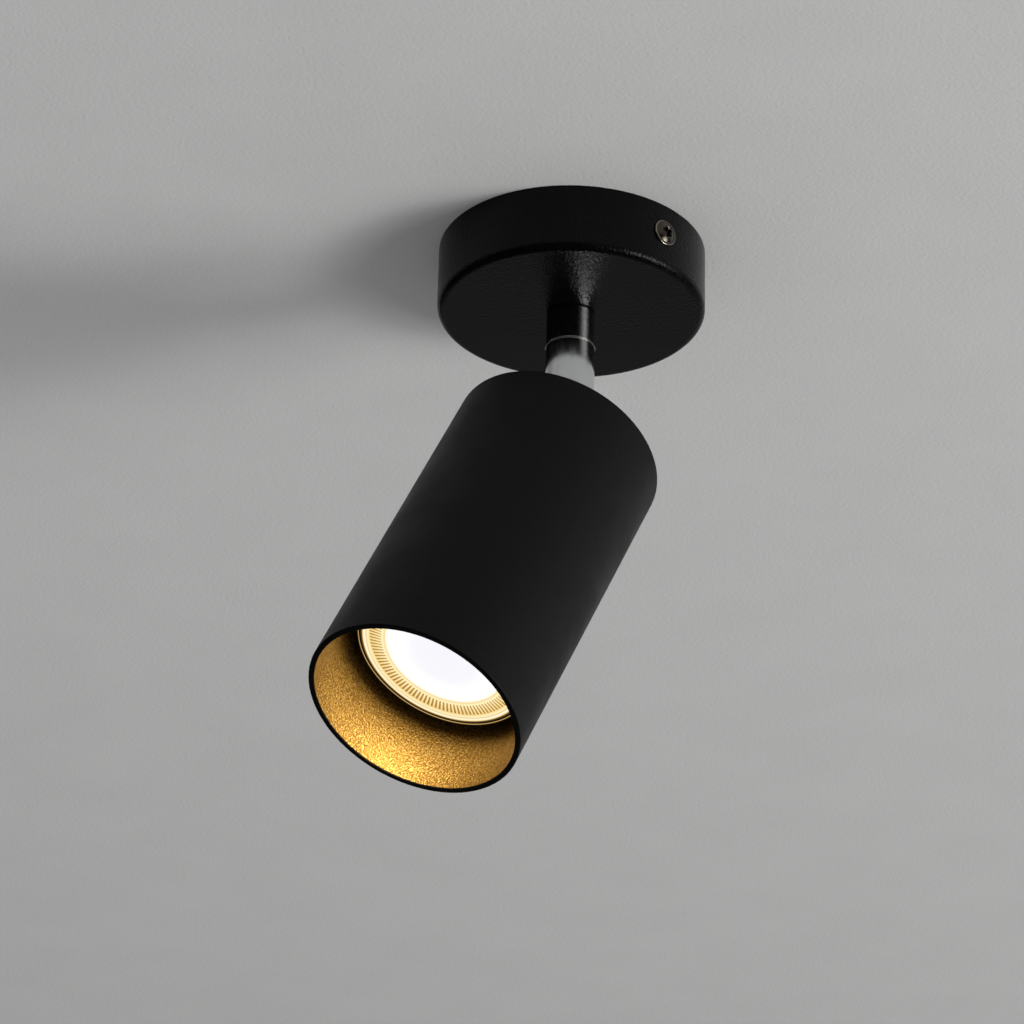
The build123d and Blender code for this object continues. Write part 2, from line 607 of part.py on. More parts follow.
def make_pivot_screw():
    screw = rod(PIVOT_HEAD_DIAMETER / 2, PIVOT_HEAD_SEAT, STEM_RADIUS)
    screw = round_end(screw, STEM_RADIUS, PIVOT_HEAD_HEIGHT / 3)
    screw += rod(PIVOT_SCREW_DIAMETER / 2, -STEM_RADIUS + PIVOT_TIP_SINK, PIVOT_HEAD_SEAT)
    screw -= Pos(0, 0, STEM_RADIUS) * six_lobe_socket(PIVOT_SOCKET, PIVOT_SOCKET_DEPTH)
    return in_swivel(along_x(screw))


def make_tilt_washers():
    hole = PIVOT_SCREW_DIAMETER / 2 + RUNNING_FIT
    washer = sleeve(TILT_WASHER_DIAMETER / 2, hole, TONGUE_WIDTH / 2, FORK_SLOT)
    right = in_swivel(along_x(washer))
    return Compound(children=[right, Rot(0, 0, 180) * right])


def make_knuckle_tongue():
    half = TONGUE_WIDTH / 2
    cheek = along_x(rod(TONGUE_RADIUS, -half, half))
    cheek += block((-half, half), (-TONGUE_RADIUS, TONGUE_RADIUS), (-BOSS_FACE, 0))
    cavity_half = TONGUE_CAVITY / 2
    cheek -= block((-cavity_half, cavity_half), (-STEM_DIAMETER, STEM_DIAMETER), (-BOSS_FACE, STEM_DIAMETER))
    cheek -= along_x(rod(PIVOT_SCREW_DIAMETER / 2 + RUNNING_FIT, -STEM_DIAMETER, STEM_DIAMETER))
    tongue = cheek + rod(STEM_RADIUS, -CAP_TOP, -BOSS_FACE)
    tongue += rod(KNUCKLE_THREAD / 2, -SPIGOT_END, -CAP_TOP)
    tongue -= rod(SPIGOT_BORE / 2, -SPIGOT_END, -BOSS_FACE)
    return in_head(tongue)


def make_knuckle_washer():
    hole = KNUCKLE_THREAD / 2 + HOLE_FIT
    return in_head(sleeve(KNUCKLE_WASHER_DIAMETER / 2, hole, -KNUCKLE_NUT_TOP, -KNUCKLE_WASHER_TOP))


def make_knuckle_nut():
    bottom = -KNUCKLE_NUT_TOP - KNUCKLE_NUT_THICKNESS
    hole = KNUCKLE_THREAD / 2 + THREAD_FIT
    return in_head(hex_nut(KNUCKLE_NUT_FLATS, hole, bottom, -KNUCKLE_NUT_TOP))


def make_lead_bush():
    outside = SPIGOT_BORE / 2 - THREAD_FIT
    bush = rod(outside, -SPIGOT_END, -SPIGOT_END + BUSH_LENGTH)
    bush += rod(KNUCKLE_THREAD / 2, -SPIGOT_END - BUSH_FLANGE, -SPIGOT_END)
    bore = rod(outside - BUSH_WALL, -SPIGOT_END - BUSH_FLANGE, -SPIGOT_END + BUSH_LENGTH)
    return in_head(bush - bore)


# Head

def make_head_tube():
    tube = round_end(rod(TUBE_RADIUS, -MOUTH, -CAP_TOP), -CAP_TOP, TUBE_EDGE)
    tube = round_end(tube, -MOUTH, TUBE_EDGE)
    tube -= rod(TUBE_INSIDE, -LIP_TOP, -CAP_TOP)
    return in_head(tube - rod(SLEEVE_INSIDE, -MOUTH, -LIP_TOP))


def make_inner_sleeve():
    return in_head(sleeve(SLEEVE_OUTSIDE, SLEEVE_INSIDE, -LIP_TOP, -CAP_BOTTOM))


def make_head_cap():
    return in_head(sleeve(SLEEVE_OUTSIDE, KNUCKLE_THREAD / 2 + HOLE_FIT, -CAP_BOTTOM, -CAP_TOP))


def make_holder_bracket():
    half = HOLDER_BRACKET_THICKNESS / 2
    leg = HOLDER_DIAMETER / 2 + HOLDER_BRACKET_SIDE_GAP + half
    foot_start = HOLDER_FOOT_OPENING / 2
    top = -CAP_BOTTOM - half
    foot = -HOLDER_BACK + half
    line = [(-foot_start, foot), (-leg, foot), (-leg, top), (leg, top), (leg, foot), (foot_start, foot)]
    bracket = strip(line, HOLDER_BRACKET_THICKNESS, HOLDER_BRACKET_BEND, HOLDER_BRACKET_WIDTH)
    bracket -= rod(KNUCKLE_THREAD / 2 + HOLE_FIT, -KNUCKLE_WASHER_TOP, -CAP_BOTTOM)
    for side in (-1, 1):
        hole = rod(HOLDER_SCREW_DIAMETER / 2 + THREAD_FIT, -HOLDER_FACE, -SPIGOT_END)
        bracket -= Pos(side * HOLDER_SCREW_SPACING / 2, 0, 0) * hole
    return in_head(bracket)


def pin_arc(width):
    """The two curved slots that the lamp's pins turn in, seen from above."""
    slot = SlotArc(CenterArc((0, 0), PIN_RADIUS, 90 - LAMP_TWIST, LAMP_TWIST), width)
    return slot + Rot(0, 0, 180) * slot


def make_lamp_holder():
    body = rod(HOLDER_DIAMETER / 2, -HOLDER_FACE, -HOLDER_BACK)
    body = round_end(round_end(body, -HOLDER_FACE, HOLDER_EDGE), -HOLDER_BACK, HOLDER_EDGE)
    plate_top = -HOLDER_FACE + HOLDER_FACE_PLATE
    chamber_top = -HOLDER_FACE + HOLDER_CHAMBER_DEPTH
    neck_slot = pin_arc(PIN_NECK_DIAMETER + 2 * PIN_SLOT_CLEARANCE)
    head_slot = pin_arc(PIN_HEAD_DIAMETER + 2 * PIN_SLOT_CLEARANCE)
    body -= Pos(0, 0, -HOLDER_FACE) * extrude(neck_slot, amount=HOLDER_FACE_PLATE)
    body -= Pos(0, 0, plate_top) * extrude(head_slot, amount=HOLDER_CHAMBER_DEPTH - HOLDER_FACE_PLATE)
    entry = rod(PIN_HEAD_DIAMETER / 2 + PIN_SLOT_CLEARANCE, -HOLDER_FACE, plate_top)
    pocket_half = CONTACT_WIDTH / 2 + THREAD_FIT
    for turn in (0, 180):
        body -= Rot(0, 0, turn - LAMP_TWIST) * Pos(0, PIN_RADIUS, 0) * entry
        pocket = block(
            (-pocket_half, pocket_half),
            (PIN_RADIUS - pocket_half, PIN_RADIUS + pocket_half),
            (chamber_top, -CONTACT_BACK),
        )
        wire_hole = Pos(0, PIN_RADIUS, 0) * rod(LEAD_RADIUS + HOLE_FIT, -CONTACT_BACK, -HOLDER_BACK)
        body -= Rot(0, 0, turn) * (pocket + wire_hole)
    for side in (-1, 1):
        shank_hole = rod(HOLDER_SCREW_DIAMETER / 2 + HOLE_FIT, -HOLDER_FACE, -HOLDER_BACK)
        head_radius = HOLDER_SCREW_HEAD_DIAMETER / 2 + HOLE_FIT
        head_hole = rod(head_radius, -HOLDER_FACE, -HOLDER_FACE + HOLDER_SCREW_SINK)
        body -= Pos(side * HOLDER_SCREW_SPACING / 2, 0, 0) * (shank_hole + head_hole)
    return in_head(body)


def make_holder_contacts():
    half = CONTACT_WIDTH / 2
    contact = block(
        (-half, half),
        (PIN_RADIUS - half, PIN_RADIUS + half),
        (-CONTACT_BACK - CONTACT_LENGTH, -CONTACT_BACK),
    )
    return Compound(children=[in_head(Rot(0, 0, turn) * contact) for turn in (0, 180)])


def make_holder_screws():
    seat = -HOLDER_FACE + HOLDER_SCREW_SINK
    tip = -HOLDER_BACK + HOLDER_BRACKET_THICKNESS + HOLDER_SCREW_TIP
    screw = rod(HOLDER_SCREW_HEAD_DIAMETER / 2, seat - HOLDER_SCREW_HEAD_HEIGHT, seat)
    screw += rod(HOLDER_SCREW_DIAMETER / 2, seat, tip)
    arm_half = DRIVER_SLOT_WIDTH / 2
    reach = (-HOLDER_SCREW_DIAMETER / 2, HOLDER_SCREW_DIAMETER / 2)
    sink = (seat - HOLDER_SCREW_HEAD_HEIGHT, seat - HOLDER_SCREW_HEAD_HEIGHT / 2)
    for turn in (0, 90):
        screw -= Rot(0, 0, turn) * block(reach, (-arm_half, arm_half), sink)
    half = HOLDER_SCREW_SPACING / 2
    return Compound(children=[in_head(Pos(side * half, 0, 0) * screw) for side in (-1, 1)])


# Lamp

def lamp_depth(distance):
    """Height of a point that lies a distance in front of the lamp's base."""
    return -LAMP_BASE - distance


def lamp_outline(wall):
    """Half outline of the housing, drawn in by a wall, from its base to its rim."""
    base = LAMP_BASE_DIAMETER / 2 - wall
    shoulder = LAMP_SHOULDER_DIAMETER / 2 - wall
    rim_start = LAMP_LENGTH - LAMP_RIM_LENGTH
    start = LAMP_BASE_SOLID if wall else 0
    middle = ((base + shoulder) / 2 + LAMP_BULGE, lamp_depth((LAMP_BASE_LENGTH + rim_start) / 2))
    edges = [
        Polyline((0, lamp_depth(start)), (base, lamp_depth(start)), (base, lamp_depth(LAMP_BASE_LENGTH))),
        ThreePointArc((base, lamp_depth(LAMP_BASE_LENGTH)), middle, (shoulder, lamp_depth(rim_start))),
        Polyline((shoulder, lamp_depth(rim_start)), (0, lamp_depth(rim_start)), (0, lamp_depth(start))),
    ]
    return Plane.XZ * make_face(edges)


def board_seat():
    """Height of the plate in the housing that carries the board."""
    return lamp_depth(LAMP_LENGTH - LENS_THICKNESS - BOARD_SETBACK - BOARD_THICKNESS)


def make_lamp_body():
    rim_top = lamp_depth(LAMP_LENGTH - LAMP_RIM_LENGTH)
    plate = rod(LAMP_RADIUS, board_seat(), board_seat() + BOARD_PLATE_THICKNESS)
    body = revolve(lamp_outline(0), Axis.Z)
    body -= revolve(lamp_outline(LAMP_WALL), Axis.Z) - plate
    body += sleeve(LAMP_RADIUS, LAMP_SHOULDER_DIAMETER / 2 - LAMP_WALL, lamp_depth(LAMP_LENGTH), rim_top)
    lens_seat = lamp_depth(LAMP_LENGTH - LENS_THICKNESS)
    body -= rod(LAMP_RADIUS - LAMP_RIM_WALL, lamp_depth(LAMP_LENGTH), lens_seat)
    for turn in (0, 180):
        socket = rod(PIN_NECK_DIAMETER / 2 + THREAD_FIT, lamp_depth(LAMP_BASE_SOLID), lamp_depth(0))
        body -= Rot(0, 0, turn) * Pos(0, PIN_RADIUS, 0) * socket
    return in_head(body)


def make_lamp_pins():
    neck_top = lamp_depth(-PIN_NECK_LENGTH)
    pin = rod(PIN_NECK_DIAMETER / 2, lamp_depth(LAMP_BASE_SOLID), neck_top)
    pin += rod(PIN_HEAD_DIAMETER / 2, neck_top, neck_top + PIN_HEAD_LENGTH)
    return Compound(children=[in_head(Pos(0, side * PIN_RADIUS, 0) * pin) for side in (-1, 1)])


def make_lamp_lens():
    face = lamp_depth(LAMP_LENGTH)
    lens = rod(LENS_RADIUS, face, face + LENS_THICKNESS)
    lens -= rod(LENS_RIB_OUTER_DIAMETER / 2, face, face + LENS_RIB_STEP)
    return in_head(lens - rod(LENS_RIB_INNER_DIAMETER / 2, face, face + LENS_DISC_STEP))


def make_led_board():
    emitter = board_seat() - BOARD_THICKNESS
    board = rod(BOARD_DIAMETER / 2, emitter, board_seat())
    return in_head(board + rod(BOARD_EMITTER_DIAMETER / 2, emitter - BOARD_EMITTER_HEIGHT, emitter))


# Leads, each cut where a joint turns

def base_lead(pole, offset):
    """A lead from a clamp, over the nipple and down to the turning joint."""
    return lead([
        (pole, TERMINAL_MIDDLE, CLAMP_HEIGHT),
        (pole, LEAD_TURN, CLAMP_HEIGHT),
        (0, offset, LEAD_CREST),
        (0, offset, PAN_CUT),
    ])


def make_earth_lead(pole):
    """The lead from the middle clamp to the earth tag."""
    barrel_height = -BRACKET_THICKNESS - EARTH_BARREL_DIAMETER / 2
    return lead([
        (pole, TERMINAL_MIDDLE, CLAMP_HEIGHT),
        (pole, EARTH_LEAD_TURN, CLAMP_HEIGHT),
        (0, EARTH_LEAD_RISE, barrel_height),
        (0, -EARTH_POINT + EARTH_TAG_DIAMETER / 2 + EARTH_LEAD_STOP, barrel_height),
    ])


def swivel_lead(bulge_points, offset):
    """A lead down the fork and past the pivot screw, to the tongue's bore at rest."""
    turn = math.radians(TILT_REST)
    end_y = offset * math.cos(turn) - TILT_CUT * math.sin(turn)
    end_z = PIVOT_HEIGHT - offset * math.sin(turn) - TILT_CUT * math.cos(turn)
    points = [(0, offset, PAN_CUT - LEAD_JOINT_GAP), (0, offset, PIVOT_HEIGHT + FORK_ROOF - ROOF_TURN)]
    points += [(0, y, PIVOT_HEIGHT + z) for y, z in bulge_points]
    return lead([*points, (0, end_y, end_z)])


def head_lead(side):
    """A lead from the tongue's bore to a contact of the lamp holder."""
    offset = side * LEAD_OFFSET
    return in_head(lead([
        (0, offset, -BOSS_FACE),
        (0, offset, -SPIGOT_END - BUSH_FLANGE - HEAD_LEAD_DROP),
        (0, side * PIN_RADIUS, -HOLDER_BACK + HEAD_LEAD_RISE),
        (0, side * PIN_RADIUS, -CONTACT_BACK),
    ]))


def make_pieces():
    live, earth, neutral = POLE_PLACES
    return {
        "canopy": make_canopy(),
        "ceiling_bracket": make_ceiling_bracket(),
        "side_screws": make_side_screws(),
        "terminal_block": make_terminal_block(),
        "terminal_clamps": make_terminal_clamps(),
        "terminal_screws": make_terminal_screws(),
        "terminal_fixing_screws": make_terminal_fixing_screws(),
        "earth_screw": make_earth_screw(),
        "earth_tag": make_earth_tag(),
        "earth_lead": make_earth_lead(earth),
        "live_lead": base_lead(live, LEAD_OFFSET),
        "neutral_lead": base_lead(neutral, -LEAD_OFFSET),
        "nipple": make_nipple(),
        "lock_washer": make_lock_washer(),
        "lock_nut": make_lock_nut(),
        "stem_sleeve": make_stem_sleeve(),
        "swivel_ring": make_swivel_ring(),
        "pan_stop_pin": make_pan_stop_pin(),
        "swivel_fork": make_swivel_fork(),
        "wave_washer": make_wave_washer(),
        "swivel_nut": make_swivel_nut(),
        "pivot_screw": make_pivot_screw(),
        "tilt_washers": make_tilt_washers(),
        "swivel_live_lead": swivel_lead(LIVE_BULGE, LEAD_OFFSET),
        "swivel_neutral_lead": swivel_lead(NEUTRAL_BULGE, -LEAD_OFFSET),
        "knuckle_tongue": make_knuckle_tongue(),
        "knuckle_washer": make_knuckle_washer(),
        "knuckle_nut": make_knuckle_nut(),
        "lead_bush": make_lead_bush(),
        "head_cap": make_head_cap(),
        "head_tube": make_head_tube(),
        "inner_sleeve": make_inner_sleeve(),
        "holder_bracket": make_holder_bracket(),
        "lamp_holder": make_lamp_holder(),
        "holder_contacts": make_holder_contacts(),
        "holder_screws": make_holder_screws(),
        "head_live_lead": head_lead(1),
        "head_neutral_lead": head_lead(-1),
        "lamp_body": make_lamp_body(),
        "lamp_pins": make_lamp_pins(),
        "lamp_lens": make_lamp_lens(),
        "led_board": make_led_board(),
    }


os.makedirs("parts", exist_ok=True)
for name, piece in make_pieces().items():
    export_step(piece, f"parts/{name}.step")
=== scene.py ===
import json
import math

import bmesh
import bpy
from mathutils import Matrix, Vector


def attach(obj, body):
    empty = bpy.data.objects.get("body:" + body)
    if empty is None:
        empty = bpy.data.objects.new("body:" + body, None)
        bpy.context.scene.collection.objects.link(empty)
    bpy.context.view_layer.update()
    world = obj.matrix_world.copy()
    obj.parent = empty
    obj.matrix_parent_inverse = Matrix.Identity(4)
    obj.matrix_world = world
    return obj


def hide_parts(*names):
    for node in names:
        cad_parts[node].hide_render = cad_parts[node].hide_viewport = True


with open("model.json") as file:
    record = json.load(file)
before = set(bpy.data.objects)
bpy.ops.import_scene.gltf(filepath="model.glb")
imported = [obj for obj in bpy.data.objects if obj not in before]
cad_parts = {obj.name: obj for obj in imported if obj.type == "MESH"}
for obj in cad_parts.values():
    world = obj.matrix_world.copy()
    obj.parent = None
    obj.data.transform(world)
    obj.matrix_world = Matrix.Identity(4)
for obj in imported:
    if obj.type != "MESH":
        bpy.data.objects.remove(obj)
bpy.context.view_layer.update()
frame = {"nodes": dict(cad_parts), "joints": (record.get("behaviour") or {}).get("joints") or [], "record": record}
nodes = frame["nodes"]

# Camera, fitted to the outlines of the canopy, the stem, the tube and the lamp
CAMERA_PLACE = (0.7115, -0.6543, -0.5713)
CAMERA_HEADING = math.radians(48.310)
CAMERA_PITCH = math.radians(26.789)
CAMERA_ROLL = math.radians(1.456)
CAMERA_LENS = 136.73
CAMERA_SENSOR = 36.0

# Ceiling that the canopy is screwed to
CEILING_HEIGHT = 0.00005
CEILING_REACH = 3.0
CEILING_HOLE = 0.0372
CEILING_SIDES = 128

# Lamp front, in metres from the lamp's axis and from its face
LAMP_FACE = 0.094
LENS_RADIUS = 0.024
LENS_BACK = -0.0024
LENS_SIDES = 160
FLANGE_EDGE = 0.00015
FLANGE_STEP_RADIUS = 0.0223
FLANGE_STEP_WIDTH = 0.0002
FLANGE_STEP_DEPTH = -0.00012
RIB_FLOOR_OUTER = 0.0215
RIB_FLOOR_INNER = 0.0181
RIB_FLOOR_DEPTH = -0.0004
BEAD_RADIUS = 0.0178
BEAD_DEPTH = -0.00015
DISC_RADIUS = 0.0173
DISC_DEPTH = -0.0006
DISC_CROWN = -0.0003
DISC_SLOPE_SHARE = 0.75
DISC_FLAT_SHARE = 0.4
RIB_COUNT = 116
RIB_WIDTH = 0.00054
RIB_HEIGHT = 0.00026
RIB_SIDES = 10
SHARP_EDGE = math.radians(35)
MERGE_DISTANCE = 1e-7

# Rim of the lamp housing round the lens, and the painted line of lens light along its inner edge
RIM_INSIDE = 0.0245
RIM_LINE_INNER = 0.00008
RIM_LINE_OUTER = 0.00016
RIM_LINE_DEPTH = -0.00022
RIM_LINE_END = -0.00012

# Side screws, under the ceiling and out from their axis to the rim of the head, where a highlight is painted
SCREW_DROP = 0.009
SCREW_RIM_START = 0.00345
SCREW_RIM_END = 0.0036

# Beam that leaves the lens
BEAM_RADIUS = 0.006
BEAM_CLEARANCE = 0.0009
BEAM_POWER = 0.0112
BEAM_COLOUR = (1.0, 0.80, 0.52)

# Studio lights, placed to the right of the canopy, away from the camera and up
LIGHT_TARGET = (0, 0, -0.06)
KEY_PLACE = (2.3, -0.9, -1.25)
KEY_COLOUR = (1.0, 0.99, 0.97)
KEY_SIZE = 1.8
KEY_POWER = 40.0
KEY_CORE_SIZE = 0.55
KEY_CORE_POWER = 11.0
KEY_CORE_LEAD = 0.01
TOP_PLACE = (0.1, -0.2, 0.9)
TOP_COLOUR = (1.0, 1.0, 1.0)
TOP_SIZE = 0.8
TOP_POWER = 7.0

# Light of the room: on matt surfaces, in reflections of its dark and its bright side, and behind all
ROOM_SOFT = 0.26
ROOM_DARK = 0.02
ROOM_BRIGHT = 0.27
ROOM_BACKDROP = 0.42
ROOM_COLOUR = (0.99, 0.99, 1.0, 1)
ROOM_BRIGHT_SIDE = (0.25, 0.91, -0.33)
ROOM_FADE_START = 0.6
ROOM_FADE_END = 0.95

# Skins of the finishes
DRAWN_LINES = (200.0, 6000.0, 6000.0)
DRAWN_LINE_DEPTH = 0.00001
THREAD_DEPTH = 0.0005
CLOTH_MARKS = (500.0, 500.0, 160.0)
STRIPE_BLUR = 0.00004

twist = next(joint for joint in frame["joints"] if joint["name"] == "lamp_twist")
lamp_axis = Vector(twist["axis"]).normalized()
pivot = Vector(twist["pos_m"])
lamp_turn = lamp_axis.to_track_quat("Z", "Y")
lamp_face = pivot + lamp_axis * LAMP_FACE
lamp_place = Matrix.Translation(lamp_face) @ lamp_turn.to_matrix().to_4x4()


# Camera and stage

def seen_from_camera(right, away, up):
    """A place given to the right of the canopy, away from the camera and up."""
    sideways = Vector((math.cos(CAMERA_HEADING), math.sin(CAMERA_HEADING), 0))
    forward = Vector((-math.sin(CAMERA_HEADING), math.cos(CAMERA_HEADING), 0))
    return sideways * right + forward * away + Vector((0, 0, up))


def place_camera():
    data = bpy.data.cameras.new("photograph_camera")
    data.lens = CAMERA_LENS
    data.sensor_width = CAMERA_SENSOR
    camera = bpy.data.objects.new("photograph_camera", data)
    bpy.context.scene.collection.objects.link(camera)
    turn = Matrix.Rotation(CAMERA_HEADING, 4, "Z")
    turn = turn @ Matrix.Rotation(math.pi / 2 + CAMERA_PITCH, 4, "X")
    turn = turn @ Matrix.Rotation(CAMERA_ROLL, 4, "Z")
    camera.matrix_world = Matrix.Translation(CAMERA_PLACE) @ turn
    bpy.context.scene.camera = camera


def place_area_light(name, place, target, size, power, colour):
    data = bpy.data.lights.new(name, "AREA")
    data.shape = "DISK"
    data.size = size
    data.energy = power
    data.color = colour
    light = bpy.data.objects.new(name, data)
    bpy.context.scene.collection.objects.link(light)
    aim = (target - place).to_track_quat("-Z", "Y")
    light.matrix_world = Matrix.Translation(place) @ aim.to_matrix().to_4x4()
    light.visible_camera = False
    return light


def place_lights():
    target = Vector(LIGHT_TARGET)
    key_place = seen_from_camera(*KEY_PLACE)
    core_place = key_place.lerp(target, KEY_CORE_LEAD)
    place_area_light("key", key_place, target, KEY_SIZE, KEY_POWER, KEY_COLOUR)
    place_area_light("key_core", core_place, target, KEY_CORE_SIZE, KEY_CORE_POWER, KEY_COLOUR)
    place_area_light("canopy_top", seen_from_camera(*TOP_PLACE), Vector(), TOP_SIZE, TOP_POWER, TOP_COLOUR)


def place_beam():
    """The light that leaves the lens and fills the mouth of the tube."""
    start = lamp_face + lamp_axis * BEAM_CLEARANCE
    beam = place_area_light("lamp_beam", start, start + lamp_axis, 2 * BEAM_RADIUS, BEAM_POWER, BEAM_COLOUR)
    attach(beam, "lamp")


def set_world():
    world = bpy.data.worlds.new("soft_room")
    world.use_nodes = True
    bpy.context.scene.world = world
    tree = world.node_tree
    background = tree.nodes["Background"]
    background.inputs["Color"].default_value = ROOM_COLOUR
    facing = tree.nodes.new("ShaderNodeVectorMath")
    facing.operation = "DOT_PRODUCT"
    facing.inputs[1].default_value = seen_from_camera(*ROOM_BRIGHT_SIDE)
    tree.links.new(tree.nodes.new("ShaderNodeTexCoord").outputs["Generated"], facing.inputs[0])
    side = facing.outputs["Value"]
    mirrored = ranged(tree, side, ROOM_FADE_START, ROOM_FADE_END, ROOM_DARK, ROOM_BRIGHT)
    path = tree.nodes.new("ShaderNodeLightPath")
    level = chosen(tree, path.outputs["Is Diffuse Ray"], mirrored, ROOM_SOFT)
    level = chosen(tree, path.outputs["Is Camera Ray"], level, ROOM_BACKDROP)
    tree.links.new(level, background.inputs["Strength"])


def hang_ceiling():
    """A painted ceiling with a hole over the canopy, open to anyone who looks from above."""
    mesh = bpy.data.meshes.new("ceiling")
    shape = bmesh.new()
    rings = []
    for radius in (CEILING_HOLE, CEILING_REACH):
        ring = []
        for step in range(CEILING_SIDES):
            turn = 2 * math.pi * step / CEILING_SIDES
            ring.append(shape.verts.new((radius * math.cos(turn), radius * math.sin(turn), CEILING_HEIGHT)))
        rings.append(ring)
    inner, outer = rings
    for step in range(CEILING_SIDES):
        following = (step + 1) % CEILING_SIDES
        shape.faces.new((inner[step], inner[following], outer[following], outer[step]))
    shape.to_mesh(mesh)
    shape.free()
    ceiling = bpy.data.objects.new("ceiling", mesh)
    bpy.context.scene.collection.objects.link(ceiling)
    mesh.materials.append(ceiling_paint())


# Shader groups that several finishes use

def new_group(name, inputs, outputs):
    """A shader node group with float inputs and outputs, and its two end nodes."""
    group = bpy.data.node_groups.new(name, "ShaderNodeTree")
    for label, value in inputs.items():
        socket = group.interface.new_socket(label, in_out="INPUT", socket_type="NodeSocketFloat")
        socket.default_value = value
    for label in outputs:
        group.interface.new_socket(label, in_out="OUTPUT", socket_type="NodeSocketFloat")
    start = group.nodes.new("NodeGroupInput")
    end = group.nodes.new("NodeGroupOutput")
    return group, start, end


def object_place(tree):
    return tree.nodes.new("ShaderNodeTexCoord").outputs["Object"]


def maths(tree, operation, first, second):
    """A Math node whose inputs are sockets or numbers."""
    node = tree.nodes.new("ShaderNodeMath")
    node.operation = operation
    for socket, value in zip(node.inputs, (first, second)):
        if isinstance(value, (int, float)):
            socket.default_value = value
        else:
            tree.links.new(value, socket)
    return node.outputs["Value"]


def noise(tree, place, scale, detail=2.0):
    node = tree.nodes.new("ShaderNodeTexNoise")
    node.inputs["Detail"].default_value = detail
    tree.links.new(place, node.inputs["Vector"])
    if isinstance(scale, (int, float)):
        node.inputs["Scale"].default_value = scale
    else:
        tree.links.new(scale, node.inputs["Scale"])
    return node.outputs["Fac"]


def stretched(tree, place, scale):
    """Object coordinates drawn out by a scale for each axis."""
    node = tree.nodes.new("ShaderNodeMapping")
    node.inputs["Scale"].default_value = scale
    tree.links.new(place, node.inputs["Vector"])
    return node.outputs["Vector"]


def ranged(tree, value, low, high, to_low, to_high):
    """A value spread from one range to another, clamped."""
    node = tree.nodes.new("ShaderNodeMapRange")
    for label, number in (("From Min", low), ("From Max", high), ("To Min", to_low), ("To Max", to_high)):
        node.inputs[label].default_value = number
    tree.links.new(value, node.inputs["Value"])
    return node.outputs["Result"]


def chosen(tree, mask, value, other):
    """A value, or a plain number where a mask is 1."""
    node = tree.nodes.new("ShaderNodeMix")
    node.inputs["B"].default_value = other
    tree.links.new(mask, node.inputs["Factor"])
    tree.links.new(value, node.inputs["A"])
    return node.outputs["Result"]


def make_coat_grain():
    """Pebbled skin of a sprayed coat: fine height, its pits, where shade is painted, and a broad drift of tone."""
    group, start, end = new_group("coat_grain", {"Grain Size": 0.0005}, ("Height", "Pits", "Tone"))
    place = object_place(group)
    scale = maths(group, "DIVIDE", 1.0, start.outputs["Grain Size"])
    pebbles = group.nodes.new("ShaderNodeTexVoronoi")
    pebbles.feature = "SMOOTH_F1"
    pebbles.inputs["Smoothness"].default_value = 0.6
    group.links.new(place, pebbles.inputs["Vector"])
    group.links.new(maths(group, "MULTIPLY", scale, 0.8), pebbles.inputs["Scale"])
    waves = noise(group, place, scale, 1.5)
    height = maths(group, "SUBTRACT", waves, maths(group, "MULTIPLY", pebbles.outputs["Distance"], 0.5))
    group.links.new(height, end.inputs["Height"])
    group.links.new(ranged(group, height, 0.15, 0.42, 1.0, 0.0), end.inputs["Pits"])
    drift = noise(group, place, maths(group, "MULTIPLY", scale, 0.03), 3.0)
    group.links.new(ranged(group, drift, 0.35, 0.65, 0.0, 1.0), end.inputs["Tone"])
    return group


def make_plate_mottle():
    """Blotches and fine drawn lines of plated or bare metal."""
    group, start, end = new_group("plate_mottle", {"Blotch Size": 0.004}, ("Blotch", "Lines"))
    place = object_place(group)
    blotch = noise(group, place, maths(group, "DIVIDE", 1.0, start.outputs["Blotch Size"]), 4.0)
    group.links.new(ranged(group, blotch, 0.35, 0.65, 0.0, 1.0), end.inputs["Blotch"])
    lines = noise(group, stretched(group, place, DRAWN_LINES), 1.0, 3.0)
    group.links.new(lines, end.inputs["Lines"])
    return group


def make_wipe_marks():
    """Faint finger and cloth marks on a polished surface."""
    group, start, end = new_group("wipe_marks", {"Amount": 0.5}, ("Mark",))
    place = object_place(group)
    cloth = noise(group, stretched(group, place, CLOTH_MARKS), 1.0, 5.0)
    cloth = ranged(group, cloth, 0.5, 0.75, 0.0, 1.0)
    patches = noise(group, place, 130.0, 2.0)
    patches = ranged(group, patches, 0.45, 0.62, 0.0, 1.0)
    wear_and_rim_highlight = maths(group, "MULTIPLY", cloth, patches)
    group.links.new(maths(group, "MULTIPLY", wear_and_rim_highlight, start.outputs["Amount"]), end.inputs["Mark"])
    return group


def make_moulded_skin():
    """Fine sparked texture and slight clouds of a moulded or pressed body."""
    group, start, end = new_group("moulded_skin", {"Texture Size": 0.0003}, ("Height", "Cloud", "Speck"))
    place = object_place(group)
    scale = maths(group, "DIVIDE", 1.0, start.outputs["Texture Size"])
    group.links.new(noise(group, place, scale, 2.0), end.inputs["Height"])
    cloud = noise(group, place, maths(group, "MULTIPLY", scale, 0.04), 3.0)
    group.links.new(ranged(group, cloud, 0.35, 0.65, 0.0, 1.0), end.inputs["Cloud"])
    specks = noise(group, place, maths(group, "MULTIPLY", scale, 0.5), 0.0)
    group.links.new(ranged(group, specks, 0.68, 0.74, 0.0, 1.0), end.inputs["Speck"])
    return group


